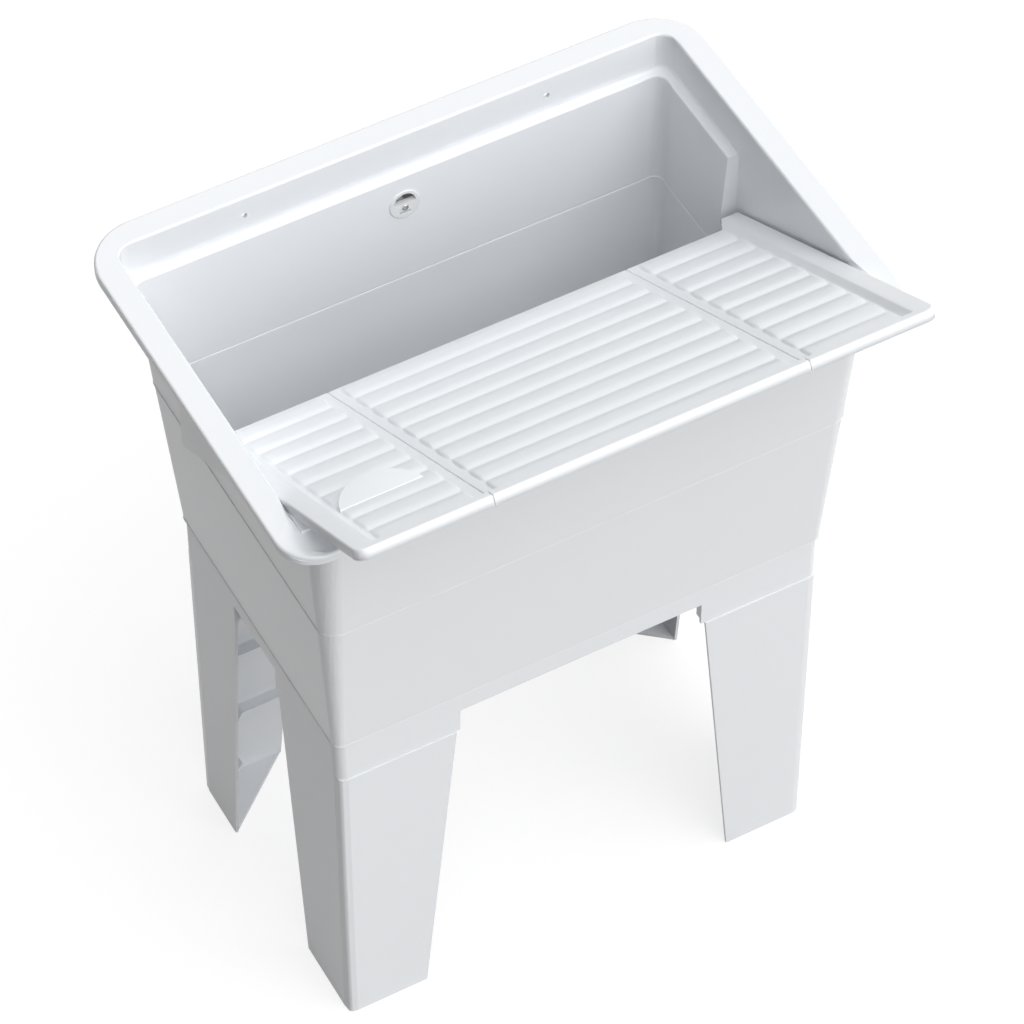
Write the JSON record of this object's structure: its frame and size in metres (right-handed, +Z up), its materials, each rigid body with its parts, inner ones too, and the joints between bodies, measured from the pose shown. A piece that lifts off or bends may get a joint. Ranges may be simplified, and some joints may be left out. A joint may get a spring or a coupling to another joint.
{
  "type": "utility laundry sink",
  "caption": "Free-standing plastic laundry sink: deep basin on angled legs, lift-off inclined washboard, waste with plug, bottle trap and piped overflow.",
  "frame": {"origin": "middle of the whole object's outline in plan, on the floor under the feet", "axes": "+Z up, +X to the right of the person washing, -Y towards the person washing"},
  "size_m": [0.7, 0.5608, 0.962],
  "materials": {
    "tub_plastic": "moulded white polypropylene, satin gloss",
    "leg_plastic": "moulded white polypropylene, satin gloss",
    "board_plastic": "moulded white polypropylene, satin gloss",
    "fitting_plastic": "moulded white plastic",
    "pipe_plastic": "extruded white plastic pipe",
    "seal_rubber": "black rubber",
    "plug_rubber": "dark grey rubber",
    "strainer_steel": "pressed stainless steel",
    "screw_steel": "stainless steel"
  },
  "bodies": {
    "base": {"tub": "tub_plastic", "leg_front_left": "leg_plastic", "leg_front_right": "leg_plastic", "leg_back_left": "leg_plastic", "leg_back_right": "leg_plastic", "overflow_rosette": "fitting_plastic", "overflow_gasket": "seal_rubber", "overflow_elbow": "fitting_plastic", "overflow_screw": "screw_steel", "overflow_pipe": "pipe_plastic", "overflow_pipe_nuts": "fitting_plastic", "waste_strainer": "strainer_steel", "waste_gasket_upper": "seal_rubber", "waste_gasket_lower": "seal_rubber", "waste_body": "fitting_plastic", "waste_screw": "screw_steel", "trap_inlet_nut": "fitting_plastic", "trap_inlet_washer": "seal_rubber", "trap_body": "fitting_plastic", "trap_outlet_nut": "fitting_plastic", "trap_outlet_washer": "seal_rubber", "trap_outlet_pipe": "pipe_plastic"},
    "washboard": {"board_left_panel": "board_plastic", "board_centre_panel": "board_plastic", "board_right_panel": "board_plastic"},
    "plug": {"drain_plug": "plug_rubber"},
    "cup": {"trap_cup": "fitting_plastic", "trap_cup_seal": "seal_rubber"}
  },
  "joints": [
    {"name": "washboard_lift", "type": "slide", "parent": "base", "child": "washboard", "axis": [0, 0, 1], "range_m": [0, 0.25]},
    {"name": "plug_pull", "type": "slide", "parent": "base", "child": "plug", "axis": [0, 0, 1], "range_m": [0, 0.12]},
    {"name": "cup_removal", "type": "slide", "parent": "base", "child": "cup", "axis": [0, 0, -1], "range_m": [0, 0.06]}
  ]
}
